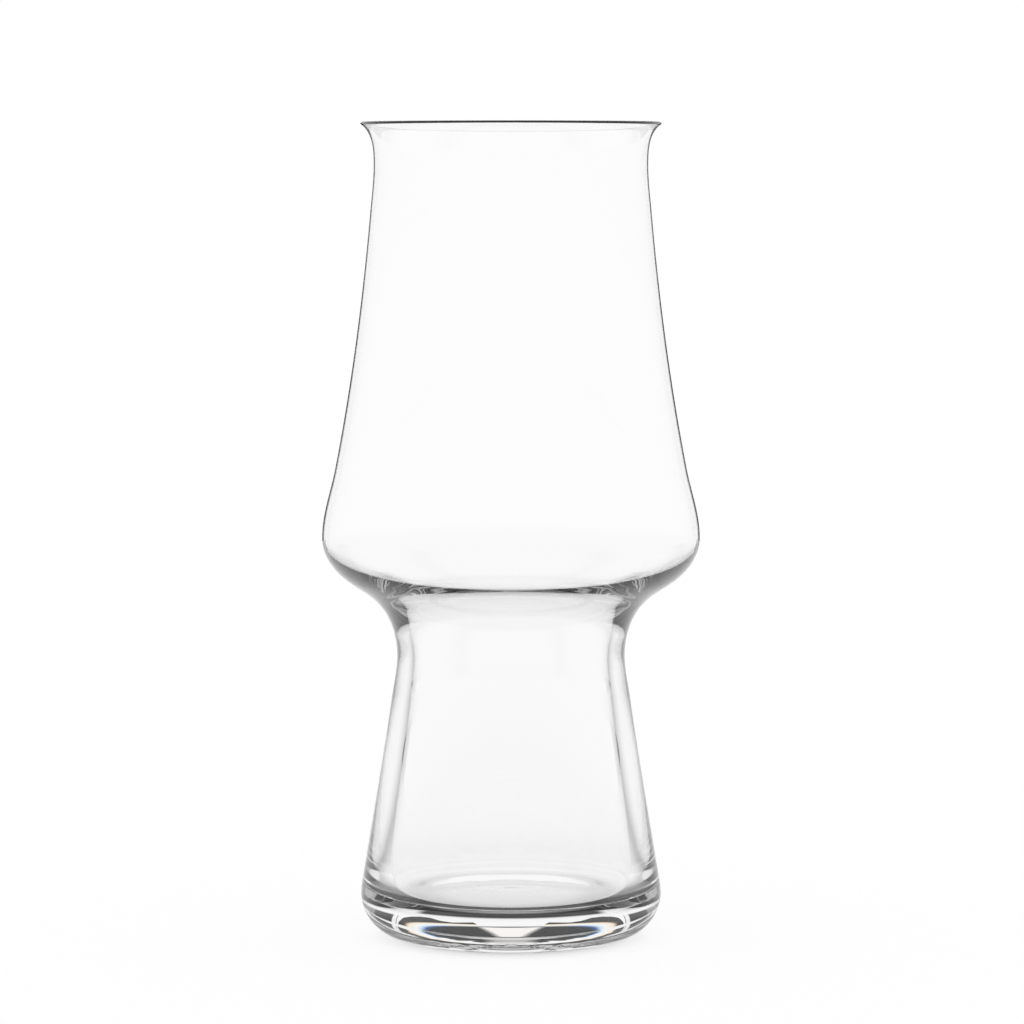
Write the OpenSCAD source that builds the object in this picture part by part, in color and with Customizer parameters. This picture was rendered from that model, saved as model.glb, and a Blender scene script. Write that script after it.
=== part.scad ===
// Craft beer glass in clear glass: flared lip, bell-shaped bowl, waisted neck, hollow trunk and heavy base.
// The glass is one turned wall. The wall is cut at level planes into its zones, which meet face to face.
// Millimetres, +Z up. The origin is the centre of the ring that the glass stands on.

/* [Heights] */
// Height of the base, from the table to the level where the inside corner ends
base_height = 14; // [12:0.1:18]
// Height of the trunk wall, from the base up to the narrowest level
trunk_height = 46.6; // [36:0.1:60]
// Height of the neck, from the narrowest level up to the throat
neck_height = 11.9; // [10:0.1:16]
// Height of the shoulder, from the throat up to the widest level
shoulder_height = 13.7; // [12:0.1:18]
// Height of the bowl, from the widest level up to the waist under the lip
bowl_height = 79.6; // [60:0.1:95]
// Height of the rim, from the waist up to the top of the lip
rim_height = 9.2; // [7:0.1:14]

/* [Outside diameters] */
// Lip, over its rounded edge
lip_d = 64.2; // [62:0.1:70]
// Waist under the lip
waist_d = 58.56; // [50:0.02:60]
// Widest level of the bowl
belly_d = 81; // [76:0.1:90]
// Throat, half way down the underside of the bowl
throat_d = 57.8; // [54:0.1:62]
// Narrowest level
neck_d = 48.9; // [44:0.1:52]
// Top of the base, where the trunk ends
foot_d = 63.5; // [60:0.1:64]
// Widest level of the base
base_d = 64.7; // [64.2:0.1:70]
// Radius of the rounded heel
heel_radius = 9.5; // [6:0.1:11]

/* [Walls] */
// Wall at the lip and the waist
lip_wall = 0.7; // [0.6:0.05:1.6]
// Wall at the widest level, measured level
belly_wall = 1.1; // [0.8:0.05:1.8]
// Wall at the throat, measured level
throat_wall = 3.3; // [2.6:0.1:5]
// Wall at the narrowest level
neck_wall = 3.5; // [2.5:0.1:5]
// Wall at the top of the base
foot_wall = 5.6; // [4:0.05:8]
// Glass under the middle of the inside floor
floor_thickness = 9; // [6:0.1:11]

/* [Lip and bowl curves] */
// Angle of the lip's flare from upright
lip_flare = 54; // [40:1:75]
// How far below the waist the upper flank is taken
upper_flank_drop = 9.9; // [8:0.1:20]
// How much the upper flank stands out from the waist
upper_flank_out = 0.74; // [0.4:0.02:2]
// Angle of the upper flank from upright
upper_flank_angle = 5.1; // [2:0.1:9]
// How far above the widest level the lower flank is taken
lower_flank_rise = 14.6; // [10:0.1:25]
// How much the lower flank stands in from the widest level
lower_flank_in = 2.8; // [2:0.1:5]
// Angle of the lower flank from upright
lower_flank_angle = 11.2; // [6:0.1:18]

/* [Shoulder and neck curves] */
// How far below the widest level the underside is steepest, outside
underside_drop = 9.3; // [7:0.1:11]
// How far in from the widest level the underside is steepest, outside
underside_in = 5.5; // [3:0.1:7]
// Angle of the underside there, outside
underside_angle = 54; // [40:1:65]
// How far below the widest level the bowl's floor is steepest, inside
bowl_floor_drop = 7.6; // [6:0.1:10]
// How far in from the widest level the bowl's floor is steepest, inside
bowl_floor_in = 5; // [3.5:0.1:6.5]
// Angle of the bowl's floor there
bowl_floor_angle = 57.6; // [45:0.1:68]
// Angle of the outside at the throat
throat_angle = 45; // [30:1:55]
// Angle of the inside at the throat
inner_throat_angle = 43; // [30:1:55]
// How far above the narrowest level the bore starts to open, inside
bore_rise = 5.4; // [4:0.1:9]
// How much the bore has opened there
bore_out = 0.95; // [0.5:0.05:2.5]
// Angle of the bore there
bore_angle = 16; // [8:1:25]
// Angle of the bore at the narrowest level
inner_neck_angle = 3.4; // [0:0.1:6]

/* [Trunk and base curves] */
// How far below the narrowest level the trunk's taper begins
taper_drop = 8.8; // [6:0.1:14]
// How much the outside has widened there
taper_out = 1.15; // [0.6:0.05:2]
// Angle of the outside there
taper_angle = 8.3; // [5:0.1:12]
// How much the inside has widened there
inner_taper_out = 0.7; // [0.4:0.05:1.6]
// Angle of the inside there
inner_taper_angle = 5.5; // [3:0.1:9]
// How far above the base the inside is straightened
inner_foot_rise = 6.5; // [3:0.1:10]
// How much narrower the inside is there than at the base
inner_foot_in = 0.5; // [0.3:0.05:1.5]
// Angle of the inside there
inner_foot_angle = 6; // [3:0.1:9]
// Angle of the outside at the top of the base
foot_angle = 9.5; // [4:0.5:12]
// Width of the rounded corner between the trunk's inside and the floor
corner_width = 2; // [1.5:0.1:7]
// How much higher the floor is at that corner than in the middle
floor_dish = 0.35; // [0:0.05:1]
// Width of the flat ring that the glass stands on
ring_width = 3.85; // [2:0.05:6]
// Depth of the hollow under the base
punt_depth = 1; // [0.4:0.1:3]

/* [Hidden] */
clear_glass = [0.93, 0.95, 0.96, 0.35];
curve_steps = 12;
around = 96;

// Levels where the wall is cut
base_level = base_height;
neck_level = base_level + trunk_height;
throat_level = neck_level + neck_height;
belly_level = throat_level + shoulder_height;
waist_level = belly_level + bowl_height;
top_level = waist_level + rim_height;

// Radii outside and inside at those levels
waist_r = waist_d / 2;
belly_r = belly_d / 2;
throat_r = throat_d / 2;
neck_r = neck_d / 2;
foot_r = foot_d / 2;
base_r = base_d / 2;
waist_bore = waist_r - lip_wall;
belly_bore = belly_r - belly_wall;
throat_bore = throat_r - throat_wall;
neck_bore = neck_r - neck_wall;
foot_bore = foot_r - foot_wall;

// Ring that the glass stands on
ring_r = base_r - heel_radius;
punt_r = ring_r - ring_width;

// Rounded edge of the lip: a half circle across the wall
edge_r = lip_wall / 2;
edge_middle = [lip_d / 2 - edge_r, top_level - edge_r];

// Angles are from straight down, and positive where the wall runs outwards on its way down
function way(angle) = [sin(angle), -cos(angle)];
function place(station) = [station[0], station[1]];

// A cubic curve between two stations, each a radius, a level and an angle. It is an arc where the ends allow one.
function bend(from, to) =
    let (start = place(from), end = place(to))
    let (reach = norm(end - start) / (3 * pow(cos((to[2] - from[2]) / 4), 2)))
    let (lead = start + reach * way(from[2]), tail = end - reach * way(to[2]))
    [for (step = [0 : curve_steps - 1])
        let (t = step / curve_steps, s = 1 - t)
        s * s * s * start + 3 * s * s * t * lead + 3 * s * t * t * tail + t * t * t * end];

// The curve through a list of stations, from the top down
function run(stations) = concat(
    [for (i = [0 : len(stations) - 2]) each bend(stations[i], stations[i + 1])],
    [place(stations[len(stations) - 1])]);

function turned_over(points) = [for (i = [len(points) - 1 : -1 : 0]) points[i]];

// A closed section between the outside and the inside of one zone
function wall(outside, inside) = concat(run(outside), turned_over(run(inside)));

// Stations that two zones share
outer_waist = [waist_r, waist_level, 0];
inner_waist = [waist_bore, waist_level, 0];
outer_belly = [belly_r, belly_level, 0];
inner_belly = [belly_bore, belly_level, 0];
outer_throat = [throat_r, throat_level, -throat_angle];
inner_throat = [throat_bore, throat_level, -inner_throat_angle];
outer_neck = [neck_r, neck_level, 0];
inner_neck = [neck_bore, neck_level, -inner_neck_angle];
outer_foot = [foot_r, base_level, foot_angle];
inner_foot = [foot_bore, base_level, 0];

// Flared lip with its rounded edge, down to the waist
function lip_end(side) = edge_middle + side * edge_r * [cos(lip_flare), -sin(lip_flare)];
function lip_station(side) = [lip_end(side)[0], lip_end(side)[1], -lip_flare];
function lip_edge() = [for (step = [1 : curve_steps - 1])
    let (angle = 180 - lip_flare - 180 * step / curve_steps)
    edge_middle + edge_r * [cos(angle), sin(angle)]];

module rim() {
    color(clear_glass)
        rotate_extrude($fn = around)
            polygon(concat(
                wall([lip_station(1), outer_waist], [lip_station(-1), inner_waist]),
                lip_edge()));
}

// Thin bell-shaped wall, from the waist down to the widest level
upper_flank_level = waist_level - upper_flank_drop;
lower_flank_level = belly_level + lower_flank_rise;

function flanks(waist_side, belly_side) = [
    [waist_side + upper_flank_out, upper_flank_level, upper_flank_angle],
    [belly_side - lower_flank_in, lower_flank_level, lower_flank_angle]];

module bowl() {
    color(clear_glass)
        rotate_extrude($fn = around)
            polygon(wall(
                concat([outer_waist], flanks(waist_r, belly_r), [outer_belly]),
                concat([inner_waist], flanks(waist_bore, belly_bore), [inner_belly])));
}

// Underside of the bowl, thickening from the widest level down to the throat
module shoulder() {
    underside = [belly_r - underside_in, belly_level - underside_drop, -underside_angle];
    bowl_floor = [belly_bore - bowl_floor_in, belly_level - bowl_floor_drop, -bowl_floor_angle];
    color(clear_glass)
        rotate_extrude($fn = around)
            polygon(wall(
                [outer_belly, underside, outer_throat],
                [inner_belly, bowl_floor, inner_throat]));
}

// Thick neck, from the throat down to the narrowest level
module neck() {
    bore = [neck_bore + bore_out, neck_level + bore_rise, -bore_angle];
    color(clear_glass)
        rotate_extrude($fn = around)
            polygon(wall(
                [outer_throat, outer_neck],
                [inner_throat, bore, inner_neck]));
}

// Hollow trunk, widening and thickening from the narrowest level down to the base
module trunk() {
    taper_level = neck_level - taper_drop;
    outer_taper = [neck_r + taper_out, taper_level, taper_angle];
    inner_taper = [neck_bore + inner_taper_out, taper_level, inner_taper_angle];
    inner_straight = [foot_bore - inner_foot_in, base_level + inner_foot_rise, inner_foot_angle];
    color(clear_glass)
        rotate_extrude($fn = around)
            polygon(wall(
                [outer_neck, outer_taper, outer_foot],
                [inner_neck, inner_taper, inner_straight, inner_foot]));
}

// Solid base with its rounded heel, the dished floor above and the hollow below
module base() {
    heel_top = [base_r, heel_radius, 0];
    ring_edge = [ring_r, 0, -90];
    punt_edge = [punt_r, 0, -90 - 2 * atan(punt_depth / punt_r)];
    punt_middle = [0, punt_depth, -90];
    corner = [foot_bore - corner_width, floor_thickness + floor_dish, -90];
    floor_middle = [0, floor_thickness, -90];
    color(clear_glass)
        rotate_extrude($fn = around)
            polygon(concat(
                run([outer_foot, heel_top, ring_edge]),
                run([punt_edge, punt_middle]),
                turned_over(run([inner_foot, corner, floor_middle]))));
}

rim();
bowl();
shoulder();
neck();
trunk();
base();
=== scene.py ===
# Craft beer glass in clear glass: one turned wall on a pale floor in a bright studio
import math

import bpy
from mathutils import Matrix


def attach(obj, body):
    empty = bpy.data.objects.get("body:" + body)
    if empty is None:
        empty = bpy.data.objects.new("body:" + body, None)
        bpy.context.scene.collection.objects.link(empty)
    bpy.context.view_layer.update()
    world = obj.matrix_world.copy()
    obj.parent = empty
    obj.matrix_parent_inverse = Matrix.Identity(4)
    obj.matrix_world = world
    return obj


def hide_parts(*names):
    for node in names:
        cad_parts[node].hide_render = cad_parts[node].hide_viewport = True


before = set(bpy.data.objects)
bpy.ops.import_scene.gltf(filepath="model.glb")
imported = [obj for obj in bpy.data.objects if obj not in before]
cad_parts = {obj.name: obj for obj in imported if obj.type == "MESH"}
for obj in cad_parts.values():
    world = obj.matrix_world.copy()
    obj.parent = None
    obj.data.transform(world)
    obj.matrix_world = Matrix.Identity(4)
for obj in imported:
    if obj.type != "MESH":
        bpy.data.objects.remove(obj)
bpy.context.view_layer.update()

# Sizes are in millimetres, as in the part's source, and the scene is in metres. Angles are in degrees.
MM = 0.001
HALF_TURN = 180.0
RIGHT_ANGLE = 90.0

# Levels where one zone of the wall meets the next
BASE_LEVEL = 14.0
NECK_LEVEL = BASE_LEVEL + 46.6
THROAT_LEVEL = NECK_LEVEL + 11.9
BELLY_LEVEL = THROAT_LEVEL + 13.7
WAIST_LEVEL = BELLY_LEVEL + 79.6
TOP_LEVEL = WAIST_LEVEL + 9.2

# Outside radii at those levels
LIP_R = 32.1
WAIST_R = 29.28
BELLY_R = 40.5
THROAT_R = 28.9
NECK_R = 24.45
FOOT_R = 31.75
BASE_R = 32.35

# Walls at those levels
LIP_WALL = 0.7
BELLY_WALL = 1.1
THROAT_WALL = 3.3
NECK_WALL = 3.5
FOOT_WALL = 5.6
FLOOR_THICKNESS = 9.0

# Lip and bowl curves
LIP_FLARE = 54.0
UPPER_FLANK = {"drop": 9.9, "out": 0.74, "angle": 5.1}
LOWER_FLANK = {"rise": 14.6, "in": 2.8, "angle": 11.2}

# Shoulder and neck curves
UNDERSIDE = {"drop": 9.3, "in": 5.5, "angle": 54.0}
BOWL_FLOOR = {"drop": 7.6, "in": 5.0, "angle": 57.6}
THROAT_ANGLE = 45.0
INNER_THROAT_ANGLE = 43.0
BORE = {"rise": 5.4, "out": 0.95, "angle": 16.0}
INNER_NECK_ANGLE = 3.4

# Trunk and base curves
TAPER = {"drop": 8.8, "out": 1.15, "angle": 8.3}
INNER_TAPER = {"out": 0.7, "angle": 5.5}
INNER_FOOT = {"rise": 6.5, "in": 0.5, "angle": 6.0}
FOOT_ANGLE = 9.5
CORNER_WIDTH = 2.0
FLOOR_DISH = 0.35
HEEL_RADIUS = 9.5
RING_WIDTH = 3.85
PUNT_DEPTH = 1.0

# Ripples that the press leaves on the inside floor
RIPPLES = [(0.02, 3.1), (0.008, 1.7)]

# Fineness of the mesh
CURVE_STEPS = 28
LIP_STEPS = 14
FLOOR_STEPS = 90
AROUND = 320
FLOOR_SIDES = 128
TUBE_SIDES = 256

# Studio. It is white, and the glass turns what stands low on its walls into view.
WHITE = (1.0, 1.0, 1.0)
WHITE_ROOM = 0.95

# Glass
GLASS = {"Base Color": (*WHITE, 1.0), "Roughness": 0.0, "IOR": 1.5, "Transmission Weight": 1.0}

# Counts of light turned back and let through: solid glass lets it in and out, and two walls do so twice
NONE_BELOW = 0.5
ONCE_BELOW = 1.5
OFTEN_ABOVE = 2.5
SINGLE_TURN = 1.0
SOLID_PASSES = 2.0
BOTH_WALLS_ABOVE = 3.0
SAME_WITHIN = 0.5
ABOUT_WITHIN = 1.5

# Glowing card round the glass, in metres and degrees, that only the base shows: painted reflections of dark
# ovals in white frames, with painted colour fringes at their edges
CARD_RADIUS = 0.55
CARD_TOP = 0.157
CARD_EYE = 0.008
CARD_SPREAD = 1.078
WALL_HALF = 60.0
OVAL_LEVEL = {"straight": 6.0, "mirrored": -1.2}
OVAL_HALF_WIDTH = 25.0
OVAL_HALF_HEIGHT = {"straight": 5.0, "mirrored": 4.4}
OVAL_EDGE = [(0.0, (0.035, 0.035, 0.035)), (0.9, (0.03, 0.035, 0.045)), (0.97, (0.06, 0.12, 0.32)),
             (1.04, (0.62, 0.8, 1.0)), (1.12, WHITE)]
TINTED_SIDES = [(0.0, 0.0), (14.0, 0.0), (21.0, 1.0)]
FRAME_HALF_WIDTH = 33.0
FRAME_HALF_HEIGHT = {"straight": 6.3, "mirrored": 12.0}
FRAME_EDGE = [(0.0, WHITE), (0.86, WHITE), (0.96, (1.0, 0.86, 0.68)), (1.02, (0.1, 0.075, 0.06)),
              (1.06, (0.04, 0.04, 0.04))]
EDGE_REACH = 2.0

# Dark surround of each frame, by its height, then bars and a gap in the oval, all painted on the glowing
# card, and the studio's ceiling
SURROUND_TOP = [(0.0, 11.0), (8.0, 11.0), (10.0, 13.7), (16.0, 12.4), (20.0, 13.0), (24.0, 15.0),
                (28.0, 15.0), (32.0, 13.5), (35.0, 11.0), (37.0, 6.0), (37.4, 0.0)]
SURROUND_REACH = 20.0
BARS = [(0.0, 1.0), (38.0, 1.0), (38.2, 0.25), (38.5, 0.25), (38.7, 0.95), (40.9, 0.95), (41.4, 0.035),
        (56.0, 0.035), (58.0, 0.3)]
BARS_BAND = [(-90.0, 1.0), (11.5, 1.0), (13.0, 0.0)]
GAP_SLOPE = 0.9
GAP_EDGE = [(-90.0, 0.0), (2.4, 0.0), (4.2, 1.0)]
GAP_TOP = 10.4
GAP_WHITE = (1.0, 0.97, 0.94)
MIRRORED_GAP = [(0.0, 0.5), (3.5, 0.45), (7.0, 0.0)]
MIRRORED_TOP = 9.2
MIRRORED_LOW = 0.45
MIRRORED_WIDE = 30.0
CEILING = [(-90.0, 0.0), (18.5, 0.0), (21.0, 0.955)]
MIRRORED_CEILING = [(-90.0, 0.0), (9.2, 0.0), (10.2, 0.955)]
CEILING_SIDES = [(0.0, 1.0), (29.0, 1.0), (33.0, 0.0)]

# Clear veil round the bowl, in metres. The card isn't shown to light that has passed two clear faces.
VEIL_RADIUS = 0.06
VEIL_LOW = 0.08
VEIL_TOP = 0.4
UNVEILED_BELOW = 1.5

# Dark strips along the horizon behind, seen in the edges of the thin wall
STRIPS_HALF = 45.0
STRIPS = [(0.0, 0.0), (4.5, 0.0), (6.0, 1.0), (16.0, 1.0), (17.5, 0.0)]
STRIPS_BAND = [(-90.0, 1.0), (0.8, 1.0), (2.0, 0.0)]
STRIP_DEPTH = 0.97

# Light that the glass turns back many times comes from dark places, apart from what comes from overhead. On
# the floor these levels are painted shade
MOST_BOUNCES = 32
MANY_TURNS = [(0.0, 0.85), (5.4, 0.85), (5.6, 0.3), (9.4, 0.25), (9.6, 0.03), (12.4, 0.03), (12.6, 0.05),
              (13.4, 0.05), (13.6, 0.4), (16.4, 0.4), (16.6, 0.035)]
OPEN_TURNS = [(0.0, 0.85), (5.4, 0.85), (5.6, 0.12), (9.4, 0.12), (9.6, 0.6), (15.4, 0.6), (15.6, 0.05)]
OVERHEAD = [(-90.0, 0.0), (45.0, 0.0), (58.0, 0.45)]

# What is seen straight through both walls is a little less bright: painted shade, on the floor by its
# distance in metres
THROUGH_FLOOR = [(0.0, 0.93), (0.05, 0.9), (0.08, 0.9), (0.1, 0.915), (0.13, 0.938), (0.2, 0.947),
                 (0.5, 0.947), (0.7, 0.955), (0.95, 0.97)]
THROUGH_ROOM = 0.979

# Floor: white in plain view, with painted shade in its glow: paler or darker by place where the glass turns
# it into view, and a painted contact shadow under the base
FLOOR_FALL = [(0.0, 0.95), (38.0, 0.94), (42.0, 0.88), (45.0, 0.8), (48.0, 0.7), (51.0, 0.56),
              (53.0, 0.48), (56.0, 0.52), (62.0, 0.72), (68.0, 0.88), (80.0, 1.0)]
FLOOR_OVAL = [(0.0, 0.04), (22.6, 0.04), (24.0, 1.0)]
FLOOR_OVAL_FROM = 0.395
FLOOR_STRIP_DEPTH = 0.5
FLOOR_STRIPS_FROM = 0.3
FLOOR_RADIUS = 0.95
FLOOR_DROP = 0.2
FLOOR_COLOUR = 0.9
FLOOR_MATT = [(0.0, 0.12), (0.1, 0.12), (0.5, 0.0)]
# Painted shadow in the floor's glow: a contact shadow under the base, and darker floor near the glass where
# the glass turns it into view
CONTACT_SHADE = [(0.0, 0.83), (0.016, 0.81), (0.019, 0.66), (0.0235, 0.66), (0.026, 0.9), (0.03, 1.0)]
TURNED_SHADE = [(0.0, 0.3), (0.024, 0.05), (0.033, 0.1), (0.038, 0.25), (0.044, 0.45), (0.05, 0.85),
                (0.058, 1.0)]
OPEN_SHADE = [(0.0, 0.74), (0.045, 0.74), (0.08, 1.0)]

# Camera, fitted to the photograph's 1024 by 1024 frame
LENS = 158.87
SENSOR = 36.0
CAMERA_AT = (0.000222, -0.9669, 0.16631)
CAMERA_TILT = 4.422


# Angles are from straight down, and positive where the wall runs outwards on its way down
def way(angle):
    turn = math.radians(angle)
    return math.sin(turn), -math.cos(turn)


# A cubic curve between two stations, each a radius, a level and an angle: an arc where the ends allow one
def bend(start, end, steps):
    (start_r, start_z, start_angle), (end_r, end_z, end_angle) = start, end
    chord = math.hypot(end_r - start_r, end_z - start_z)
    reach = chord / (3 * math.cos(math.radians(end_angle - start_angle) / 4) ** 2)
    lead_r, lead_z = (a + reach * b for a, b in zip((start_r, start_z), way(start_angle)))
    tail_r, tail_z = (a - reach * b for a, b in zip((end_r, end_z), way(end_angle)))
    points = []
    for step in range(steps):
        t = step / steps
        s = 1 - t
        weights = s ** 3, 3 * s * s * t, 3 * s * t * t, t ** 3
        radius = sum(w * v for w, v in zip(weights, (start_r, lead_r, tail_r, end_r)))
        level = sum(w * v for w, v in zip(weights, (start_z, lead_z, tail_z, end_z)))
        points.append((radius, level))
    return points


# The curve through a list of stations
def run(stations):
    points = []
    for start, end in zip(stations, stations[1:]):
        points += bend(start, end, CURVE_STEPS)
    return points + [stations[-1][:2]]


# Both faces of the bowl's flank between the waist and the widest level
def flanks(waist, belly):
    return [
        (waist, WAIST_LEVEL, 0),
        (waist + UPPER_FLANK["out"], WAIST_LEVEL - UPPER_FLANK["drop"], UPPER_FLANK["angle"]),
        (belly - LOWER_FLANK["in"], BELLY_LEVEL + LOWER_FLANK["rise"], LOWER_FLANK["angle"]),
        (belly, BELLY_LEVEL, 0),
    ]


# Where a face of the lip meets its rounded edge: side is 1 outside and -1 inside
def lip_station(side):
    half = LIP_WALL / 2
    across = math.radians(LIP_FLARE)
    radius = LIP_R - half + side * half * math.cos(across)
    level = TOP_LEVEL - half - side * half * math.sin(across)
    return radius, level, -LIP_FLARE


def outside():
    taper_level = NECK_LEVEL - TAPER["drop"]
    return run([
        lip_station(1),
        *flanks(WAIST_R, BELLY_R),
        (BELLY_R - UNDERSIDE["in"], BELLY_LEVEL - UNDERSIDE["drop"], -UNDERSIDE["angle"]),
        (THROAT_R, THROAT_LEVEL, -THROAT_ANGLE),
        (NECK_R, NECK_LEVEL, 0),
        (NECK_R + TAPER["out"], taper_level, TAPER["angle"]),
        (FOOT_R, BASE_LEVEL, FOOT_ANGLE),
        (BASE_R, HEEL_RADIUS, 0),
        (BASE_R - HEEL_RADIUS, 0, -RIGHT_ANGLE),
    ])


def inside():
    belly_bore = BELLY_R - BELLY_WALL
    neck_bore = NECK_R - NECK_WALL
    foot_bore = FOOT_R - FOOT_WALL
    taper_level = NECK_LEVEL - TAPER["drop"]
    return run([
        lip_station(-1),
        *flanks(WAIST_R - LIP_WALL, belly_bore),
        (belly_bore - BOWL_FLOOR["in"], BELLY_LEVEL - BOWL_FLOOR["drop"], -BOWL_FLOOR["angle"]),
        (THROAT_R - THROAT_WALL, THROAT_LEVEL, -INNER_THROAT_ANGLE),
        (neck_bore + BORE["out"], NECK_LEVEL + BORE["rise"], -BORE["angle"]),
        (neck_bore, NECK_LEVEL, -INNER_NECK_ANGLE),
        (neck_bore + INNER_TAPER["out"], taper_level, INNER_TAPER["angle"]),
        (foot_bore - INNER_FOOT["in"], BASE_LEVEL + INNER_FOOT["rise"], INNER_FOOT["angle"]),
        (foot_bore, BASE_LEVEL, 0),
        (foot_bore - CORNER_WIDTH, FLOOR_THICKNESS + FLOOR_DISH, -RIGHT_ANGLE),
    ])


# Rounded edge of the lip, from the outside face over the top to the inside face
def lip_edge():
    half = LIP_WALL / 2
    points = []
    for step in range(1, LIP_STEPS):
        angle = math.radians(HALF_TURN * step / LIP_STEPS - LIP_FLARE)
        points.append((LIP_R - half + half * math.cos(angle), TOP_LEVEL - half + half * math.sin(angle)))
    return points


# Dished floor inside, from the corner to the middle, with the ripples of the press
def inside_floor():
    corner_r = FOOT_R - FOOT_WALL - CORNER_WIDTH
    points = []
    for step in range(1, FLOOR_STEPS + 1):
        share = 1 - step / FLOOR_STEPS
        radius = corner_r * share
        fade = (1 - share ** 2) ** 2
        ripple = sum(height * math.cos(2 * math.pi * radius / pitch) for height, pitch in RIPPLES)
        points.append((radius, FLOOR_THICKNESS + FLOOR_DISH * share ** 2 + fade * ripple))
    return points


# Shallow hollow under the base, from the ring it stands on to the middle
def punt():
    punt_r = BASE_R - HEEL_RADIUS - RING_WIDTH
    points = []
    for step in range(CURVE_STEPS + 1):
        share = 1 - step / CURVE_STEPS
        points.append((punt_r * share, PUNT_DEPTH * (1 - share ** 2)))
    return points


# The whole section as one line, from the middle of the floor over the lip to the middle of the hollow
def section():
    up = inside_floor()[::-1] + inside()[::-1]
    return up + lip_edge()[::-1] + outside() + punt()


# One closed mesh turned from the section
def turn(points, name):
    rings = []
    corners = []
    for radius, level in points:
        first = len(corners)
        count = AROUND if radius > 0 else 1
        for k in range(count):
            angle = 2 * math.pi * k / AROUND
            corners.append((radius * MM * math.cos(angle), radius * MM * math.sin(angle), level * MM))
        rings.append([first + k % count for k in range(AROUND + 1)])
    faces = []
    for lower, upper in zip(rings, rings[1:]):
        for k in range(AROUND):
            corner = (lower[k], lower[k + 1], upper[k + 1], upper[k])
            faces.append(tuple(dict.fromkeys(corner)))
    mesh = bpy.data.meshes.new(name)
    mesh.from_pydata(corners, [], faces)
    mesh.flip_normals()
    mesh.shade_smooth()
    piece = bpy.data.objects.new(name, mesh)
    bpy.context.collection.objects.link(piece)
    return piece


# Small helpers for a tree of shader nodes
def math_node(tree, operation, *values):
    node = tree.nodes.new("ShaderNodeMath")
    node.operation = operation
    for socket, value in zip(node.inputs, values):
        if isinstance(value, (int, float)):
            socket.default_value = value
        else:
            tree.links.new(value, socket)
    return node.outputs[0]


def ramp(tree, value, stops):
    node = tree.nodes.new("ShaderNodeValToRGB")
    elements = node.color_ramp.elements
    elements.remove(elements[-1])
    for number, (position, level) in enumerate(stops):
        element = elements[0] if number == 0 else elements.new(position)
        element.position = position
        element.color = (*level, 1) if isinstance(level, tuple) else (level, level, level, 1)
    tree.links.new(value, node.inputs[0])
    return node.outputs[0]


# A mix of two colours, each a socket or a plain colour
def mix(tree, share, first, second, blend="MIX"):
    node = tree.nodes.new("ShaderNodeMix")
    node.data_type = "RGBA"
    node.blend_type = blend
    for name, value in (("Factor_Float", share), ("A_Color", first), ("B_Color", second)):
        socket = next(entry for entry in node.inputs if entry.identifier == name)
        if isinstance(value, tuple):
            socket.default_value = (*value, 1)
        elif isinstance(value, (int, float)):
            socket.default_value = value
        else:
            tree.links.new(value, socket)
    return next(entry for entry in node.outputs if entry.identifier == "Result_Color")


# Angle of a direction from the middle of the nearest of several like parts, in degrees, and its height
def around_from(tree, vector, half):
    parts = tree.nodes.new("ShaderNodeSeparateXYZ")
    tree.links.new(vector, parts.inputs[0])
    turn = math_node(tree, "ARCTAN2", parts.outputs["X"], parts.outputs["Y"])
    angle = math_node(tree, "PINGPONG", math_node(tree, "DEGREES", turn), half)
    return angle, parts.outputs["Z"]


# A ramp between two bounds, from a list of place and level
def fall(tree, value, stops, low, high):
    share = math_node(tree, "DIVIDE", math_node(tree, "SUBTRACT", value, low), high - low)
    return ramp(tree, share, [((place - low) / (high - low), level) for place, level in stops])


# A ramp by an angle of rise, from straight down to straight up
def by_rise(tree, rise, stops):
    return fall(tree, rise, stops, -RIGHT_ANGLE, RIGHT_ANGLE)


# One of two values, by a switch of 0 or 1
def choose(tree, switch, when_on, when_off):
    return math_node(tree, "MULTIPLY_ADD", switch, math_node(tree, "SUBTRACT", when_on, when_off), when_off)


# How often the glass has turned the light back, let it through, and whether a matt face has scattered it
def history(tree):
    path = tree.nodes.new("ShaderNodeLightPath")
    return path.outputs["Glossy Depth"], path.outputs["Transmission Depth"], path.outputs["Diffuse Depth"]


def clear_glass():
    material = bpy.data.materials.new("clear_glass")
    material.use_nodes = True
    shader = material.node_tree.nodes["Principled BSDF"]
    for name, value in GLASS.items():
        shader.inputs[name].default_value = value
    return material


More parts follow.
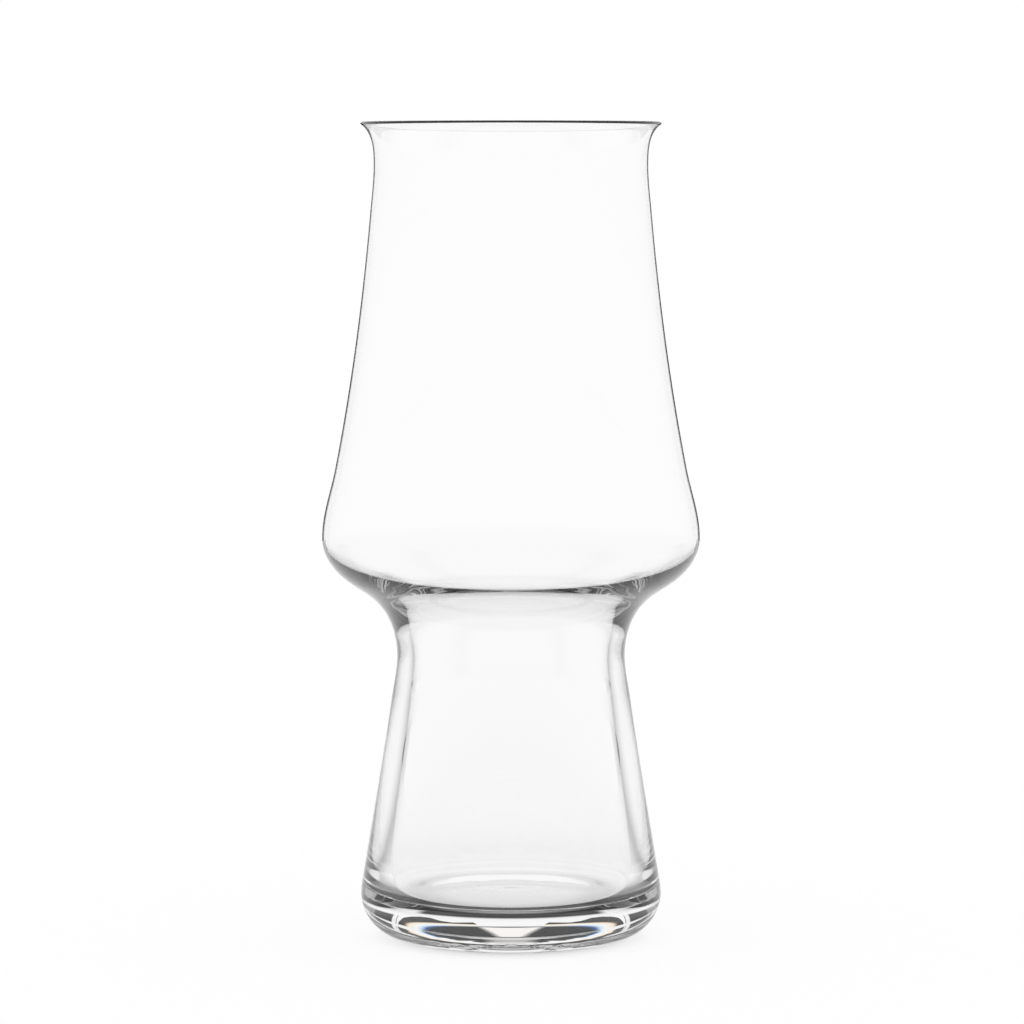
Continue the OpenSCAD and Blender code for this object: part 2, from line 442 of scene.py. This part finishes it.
def pale_floor():
    material = bpy.data.materials.new("pale_floor")
    material.use_nodes = True
    tree = material.node_tree
    tree.nodes.clear()
    turns, passes, _ = history(tree)
    place = tree.nodes.new("ShaderNodeNewGeometry").outputs["Position"]
    distance_node = tree.nodes.new("ShaderNodeVectorMath")
    distance_node.operation = "LENGTH"
    tree.links.new(place, distance_node.inputs[0])
    distance = distance_node.outputs["Value"]

    # How pale the floor is, as painted shade in its glow: white unless the glass has turned the light back,
    # with a painted contact shadow under the base and painted shade through both walls
    sides = around_from(tree, place, RIGHT_ANGLE)[0]
    strips = fall(tree, around_from(tree, place, STRIPS_HALF)[0], STRIPS, 0, STRIPS_HALF)
    far = fall(tree, distance, [(FLOOR_STRIPS_FROM, 0.0), (FLOOR_RADIUS, 1.0)], 0, FLOOR_RADIUS)
    behind = math_node(tree, "LESS_THAN", around_from(tree, place, HALF_TURN)[0], STRIPS_HALF)
    depth = math_node(tree, "MULTIPLY", far, math_node(tree, "MULTIPLY", behind, FLOOR_STRIP_DEPTH))
    mirrored = math_node(tree, "MULTIPLY", math_node(tree, "LESS_THAN", passes, NONE_BELOW), depth)
    solid = math_node(tree, "COMPARE", passes, SOLID_PASSES, SAME_WITHIN)
    paleness = choose(tree, math_node(tree, "MULTIPLY", mirrored, strips), 0,
                      choose(tree, solid, fall(tree, sides, FLOOR_FALL, 0, RIGHT_ANGLE), 1))
    oval = fall(tree, around_from(tree, place, WALL_HALF)[0], FLOOR_OVAL, 0, WALL_HALF)
    far_behind = math_node(tree, "MULTIPLY", math_node(tree, "GREATER_THAN", distance, FLOOR_OVAL_FROM),
                           math_node(tree, "LESS_THAN", around_from(tree, place, HALF_TURN)[0], WALL_HALF))
    in_base = math_node(tree, "MULTIPLY", far_behind, solid)
    once = math_node(tree, "MULTIPLY", choose(tree, in_base, oval, 1), paleness)
    often = math_node(tree, "GREATER_THAN", turns, OFTEN_ABOVE)
    many = fall(tree, turns, MANY_TURNS, 0, MOST_BOUNCES)
    turned = math_node(tree, "MULTIPLY", choose(tree, often, many, once),
                       choose(tree, solid, fall(tree, distance, TURNED_SHADE, 0, FLOOR_RADIUS),
                              fall(tree, distance, OPEN_SHADE, 0, FLOOR_RADIUS)))
    straight = math_node(tree, "LESS_THAN", turns, NONE_BELOW)
    both_walls = math_node(tree, "GREATER_THAN", passes, BOTH_WALLS_ABOVE)
    through = choose(tree, both_walls, fall(tree, distance, THROUGH_FLOOR, 0, FLOOR_RADIUS), 1)
    under = math_node(tree, "MULTIPLY", fall(tree, distance, CONTACT_SHADE, 0, FLOOR_RADIUS), through)
    level = choose(tree, straight, under, turned)

    # A matt share near the glass takes its shadow, and a glow makes up the rest
    matt = fall(tree, distance, FLOOR_MATT, 0, FLOOR_RADIUS)
    glow = math_node(tree, "MULTIPLY_ADD", matt, -FLOOR_COLOUR, 1)
    colour = tree.nodes.new("ShaderNodeCombineColor")
    matt_level = math_node(tree, "MULTIPLY", math_node(tree, "MULTIPLY", matt, level), FLOOR_COLOUR)
    for channel in colour.inputs:
        tree.links.new(matt_level, channel)
    surface = tree.nodes.new("ShaderNodeBsdfDiffuse")
    tree.links.new(colour.outputs[0], surface.inputs["Color"])
    light = tree.nodes.new("ShaderNodeEmission")
    tree.links.new(math_node(tree, "MULTIPLY", level, glow), light.inputs["Strength"])
    both = tree.nodes.new("ShaderNodeAddShader")
    tree.links.new(surface.outputs[0], both.inputs[0])
    tree.links.new(light.outputs[0], both.inputs[1])
    output = tree.nodes.new("ShaderNodeOutputMaterial")
    tree.links.new(both.outputs[0], output.inputs["Surface"])
    return material


def make_floor():
    bpy.ops.mesh.primitive_circle_add(
        vertices=FLOOR_SIDES, radius=FLOOR_RADIUS, fill_type="NGON", location=(0, 0, -FLOOR_DROP * MM))
    floor = bpy.context.object
    floor.name = "floor"
    floor.data.materials.append(pale_floor())


# Share of the way from the middle of an oval on a wall to its edge
def oval_share(tree, across, up, half_width, half_height):
    wide = math_node(tree, "DIVIDE", across, half_width)
    high = math_node(tree, "DIVIDE", up, half_height)
    squares = math_node(tree, "ADD", math_node(tree, "MULTIPLY", wide, wide),
                        math_node(tree, "MULTIPLY", high, high))
    return math_node(tree, "SQRT", squares)


# Painted picture for the glowing card, walls as the solid base shows them: an oval with a gap, its frame
# and dark surround, and bars
def base_walls(tree, angle, rise, straight):
    def either(values):
        return choose(tree, straight, values["straight"], values["mirrored"])

    up = math_node(tree, "SUBTRACT", rise, either(OVAL_LEVEL))
    oval = oval_share(tree, angle, up, OVAL_HALF_WIDTH, either(OVAL_HALF_HEIGHT))
    border = oval_share(tree, angle, up, FRAME_HALF_WIDTH, either(FRAME_HALF_HEIGHT))
    top = math_node(tree, "MULTIPLY", SURROUND_REACH, fall(
        tree, angle, [(place, height / SURROUND_REACH) for place, height in SURROUND_TOP], 0, WALL_HALF))
    above = math_node(tree, "MULTIPLY", straight, math_node(tree, "GREATER_THAN", rise, top))
    aside = math_node(tree, "GREATER_THAN", angle, SURROUND_TOP[-1][0])
    beyond = math_node(tree, "MAXIMUM", above, aside)
    surround = mix(tree, beyond, fall(tree, border, FRAME_EDGE, 0, EDGE_REACH), WHITE)

    # The oval's edge has painted colour fringes at its two ends only
    tinted = fall(tree, oval, OVAL_EDGE, 0, EDGE_REACH)
    plain = tree.nodes.new("ShaderNodeRGBToBW")
    tree.links.new(tinted, plain.inputs[0])
    edged = mix(tree, fall(tree, angle, TINTED_SIDES, 0, WALL_HALF), plain.outputs[0], tinted)
    picture = mix(tree, 1, edged, surround, "MULTIPLY")

    slanted = math_node(tree, "MULTIPLY_ADD", angle, -GAP_SLOPE, rise)
    under = math_node(tree, "MULTIPLY", by_rise(tree, slanted, GAP_EDGE),
                      math_node(tree, "LESS_THAN", rise, GAP_TOP))
    gap = choose(tree, straight, under, fall(tree, angle, MIRRORED_GAP, 0, WALL_HALF))
    near = math_node(tree, "LESS_THAN", angle, OVAL_HALF_WIDTH)
    colour = mix(tree, math_node(tree, "MULTIPLY", gap, near), picture, GAP_WHITE)
    bars = fall(tree, angle, BARS, 0, WALL_HALF)
    return colour, choose(tree, by_rise(tree, rise, BARS_BAND), bars, 1)


# Glowing card that light meets only after it has passed through solid glass, turned back once at most: it
# shows the painted picture of the base's reflections
def painted_base_card():
    material = bpy.data.materials.new("painted_base_card")
    material.use_nodes = True
    tree = material.node_tree
    tree.nodes.clear()
    turns, passes, _ = history(tree)
    veils = tree.nodes.new("ShaderNodeLightPath").outputs["Transparent Depth"]
    place = tree.nodes.new("ShaderNodeNewGeometry").outputs["Position"]
    side, level = around_from(tree, place, WALL_HALF)
    angle = math_node(tree, "MULTIPLY", side, CARD_SPREAD)
    over = math_node(tree, "SUBTRACT", level, CARD_EYE)
    rise = math_node(tree, "DEGREES", math_node(tree, "ARCTAN2", over, CARD_RADIUS - BASE_R * MM))
    straight = math_node(tree, "LESS_THAN", turns, NONE_BELOW)
    colour, shade = base_walls(tree, angle, rise, straight)

    behind = math_node(tree, "LESS_THAN", around_from(tree, place, HALF_TURN)[0], WALL_HALF)
    lifted = math_node(tree, "MAXIMUM", math_node(tree, "GREATER_THAN", rise, MIRRORED_LOW),
                       math_node(tree, "LESS_THAN", angle, MIRRORED_WIDE))
    low = math_node(tree, "MULTIPLY", lifted, math_node(tree, "LESS_THAN", rise, MIRRORED_TOP))
    once = math_node(tree, "MULTIPLY", behind, math_node(tree, "COMPARE", turns, SINGLE_TURN, SAME_WITHIN))
    mirrored = math_node(tree, "MULTIPLY", low, once)
    solid = math_node(tree, "COMPARE", passes, SOLID_PASSES, SAME_WITHIN)
    unveiled = math_node(tree, "LESS_THAN", veils, UNVEILED_BELOW)
    from_base = math_node(tree, "MULTIPLY", solid, unveiled)
    shown = math_node(tree, "MULTIPLY", from_base, math_node(tree, "MAXIMUM", straight, mirrored))
    light = tree.nodes.new("ShaderNodeEmission")
    tree.links.new(colour, light.inputs["Color"])
    tree.links.new(math_node(tree, "MULTIPLY", shade, WHITE_ROOM), light.inputs["Strength"])
    clear = tree.nodes.new("ShaderNodeBsdfTransparent")
    either = tree.nodes.new("ShaderNodeMixShader")
    tree.links.new(shown, either.inputs[0])
    tree.links.new(clear.outputs[0], either.inputs[1])
    tree.links.new(light.outputs[0], either.inputs[2])
    output = tree.nodes.new("ShaderNodeOutputMaterial")
    tree.links.new(either.outputs[0], output.inputs["Surface"])
    return material


# An open tube round the glass, from one level to another
def make_tube(name, radius, low, high, material):
    bpy.ops.mesh.primitive_cylinder_add(
        vertices=TUBE_SIDES, radius=radius, depth=high - low, end_fill_type="NOTHING",
        location=(0, 0, (low + high) / 2))
    tube = bpy.context.object
    tube.name = name
    tube.data.materials.append(material)
    return tube


# Glowing card round the glass, with the painted picture that the base shows
def make_card():
    painted_card = make_tube("painted_card", CARD_RADIUS, 0, CARD_TOP, painted_base_card())


# Veil that only counts the light that passes it
def make_veil():
    material = bpy.data.materials.new("clear_veil")
    material.use_nodes = True
    tree = material.node_tree
    tree.nodes.clear()
    clear = tree.nodes.new("ShaderNodeBsdfTransparent")
    output = tree.nodes.new("ShaderNodeOutputMaterial")
    tree.links.new(clear.outputs[0], output.inputs["Surface"])
    veil = make_tube("veil", VEIL_RADIUS, VEIL_LOW, VEIL_TOP, material)


# Room as the thin walls show it: white, with dark strips along its horizon
def thin_room(tree, direction, rise, passes):
    angle = around_from(tree, direction, STRIPS_HALF)[0]
    behind = math_node(tree, "LESS_THAN", around_from(tree, direction, HALF_TURN)[0], STRIPS_HALF)
    near = math_node(tree, "LESS_THAN", passes, BOTH_WALLS_ABOVE)
    depth = math_node(tree, "MULTIPLY", near, math_node(tree, "MULTIPLY", behind, STRIP_DEPTH))
    strips = math_node(tree, "MULTIPLY", fall(tree, angle, STRIPS, 0, STRIPS_HALF),
                       by_rise(tree, rise, STRIPS_BAND))
    return choose(tree, math_node(tree, "MULTIPLY", strips, depth), 0, WHITE_ROOM)


def make_studio():
    world = bpy.data.worlds.new("studio")
    bpy.context.scene.world = world
    world.use_nodes = True
    tree = world.node_tree
    tree.nodes.clear()
    turns, passes, scatters = history(tree)
    direction = tree.nodes.new("ShaderNodeTexCoord").outputs["Generated"]
    height = around_from(tree, direction, HALF_TURN)[1]
    rise = math_node(tree, "DEGREES", math_node(tree, "ARCSINE", height))
    room = thin_room(tree, direction, rise, passes)

    # Light that is turned back many times comes from dark places
    often = math_node(tree, "GREATER_THAN", turns, OFTEN_ABOVE)
    open_glass = math_node(tree, "GREATER_THAN", passes, BOTH_WALLS_ABOVE)
    many = choose(tree, open_glass, fall(tree, turns, OPEN_TURNS, 0, MOST_BOUNCES),
                  fall(tree, turns, MANY_TURNS, 0, MOST_BOUNCES))
    dark = math_node(tree, "MAXIMUM", many, by_rise(tree, rise, OVERHEAD))
    turned_room = choose(tree, often, dark, room)

    # Solid glass shows a dark ceiling, by itself and mirrored
    solid = math_node(tree, "COMPARE", passes, SOLID_PASSES, ABOUT_WITHIN)
    straight = math_node(tree, "LESS_THAN", turns, NONE_BELOW)
    behind = math_node(tree, "LESS_THAN", around_from(tree, direction, HALF_TURN)[0], WALL_HALF)
    once = math_node(tree, "MULTIPLY", behind, math_node(tree, "LESS_THAN", turns, ONCE_BELOW))
    mirrored = math_node(tree, "MULTIPLY", once, by_rise(tree, rise, MIRRORED_CEILING))
    above = choose(tree, straight, by_rise(tree, rise, CEILING), mirrored)
    sides = fall(tree, around_from(tree, direction, WALL_HALF)[0], CEILING_SIDES, 0, WALL_HALF)
    ceiling = math_node(tree, "MULTIPLY", above, sides)
    level = choose(tree, math_node(tree, "MULTIPLY", solid, ceiling), 0, turned_room)

    # Light that goes straight through the thin walls, and light on matt faces, meets plain white
    plain = math_node(tree, "LESS_THAN", math_node(tree, "ADD", turns, solid), NONE_BELOW)
    white = math_node(tree, "MAXIMUM", plain, math_node(tree, "GREATER_THAN", scatters, NONE_BELOW))
    light = tree.nodes.new("ShaderNodeBackground")
    light.inputs["Color"].default_value = (*WHITE, 1)
    through = choose(tree, open_glass, THROUGH_ROOM, 1)
    tree.links.new(choose(tree, white, through, level), light.inputs["Strength"])
    output = tree.nodes.new("ShaderNodeOutputWorld")
    tree.links.new(light.outputs[0], output.inputs["Surface"])


def make_camera():
    camera = bpy.data.cameras.new("camera")
    camera.lens = LENS
    camera.sensor_width = SENSOR
    stand = bpy.data.objects.new("camera", camera)
    stand.location = CAMERA_AT
    stand.rotation_euler = (math.radians(RIGHT_ANGLE - CAMERA_TILT), 0, 0)
    bpy.context.collection.objects.link(stand)
    bpy.context.scene.camera = stand


make_camera()
make_studio()
make_floor()
make_card()
make_veil()

glass = turn(section(), "beer_glass")
glass.data.materials.append(clear_glass())
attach(glass, "root")
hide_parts("rim", "bowl", "shoulder", "neck", "trunk", "base")

scene = bpy.context.scene
scene.view_settings.view_transform = "Standard"
scene.cycles.max_bounces = MOST_BOUNCES
scene.cycles.transmission_bounces = MOST_BOUNCES
scene.cycles.glossy_bounces = MOST_BOUNCES
